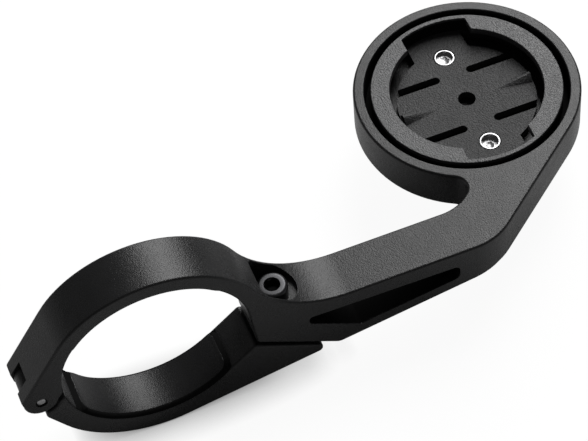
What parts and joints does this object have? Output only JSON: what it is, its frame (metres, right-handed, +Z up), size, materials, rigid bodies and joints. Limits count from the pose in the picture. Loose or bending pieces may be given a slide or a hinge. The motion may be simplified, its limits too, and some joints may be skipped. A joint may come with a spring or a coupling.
{
  "type": "bike computer mount",
  "caption": "Out-front handlebar mount with a hinged clamp, a cantilever arm and a round head that holds a twist-lock seat.",
  "frame": {"origin": "on the handlebar's axis, half way across the clamp's width", "axes": "+X along the handlebar, +Y forward from the handlebar to the head, +Z up, square to the head's flat top"},
  "size_m": [0.0551, 0.1178, 0.0412],
  "materials": {
    "moulded_plastic": "fine satin",
    "insert_plastic": "fine texture",
    "blackened_steel": "blackened",
    "bright_steel": "bright"
  },
  "bodies": {
    "mount": {"mount_body": "moulded_plastic", "hinge_pin": "bright_steel", "twist_lock_insert": "insert_plastic", "insert_screw_left": "bright_steel", "insert_screw_right": "bright_steel", "insert_nut_left": "bright_steel", "insert_nut_right": "bright_steel"},
    "lower_jaw": {"hinged_jaw": "moulded_plastic", "clamp_nut": "blackened_steel"},
    "screw": {"clamp_screw": "bright_steel"}
  },
  "joints": [
    {"name": "jaw_hinge", "type": "hinge", "parent": "mount", "child": "lower_jaw", "pos_m": [0, -0.02105, -0.0016], "axis": [-1, 0, 0], "range_deg": [0, 70]},
    {"name": "screw_withdraw", "type": "slide", "parent": "mount", "child": "screw", "axis": [0, 0, 1], "range_m": [0, 0.03]}
  ],
  "couplings": [
    {"joint": "screw_withdraw", "follows": "jaw_hinge", "m_per_rad": 0.02455}
  ]
}
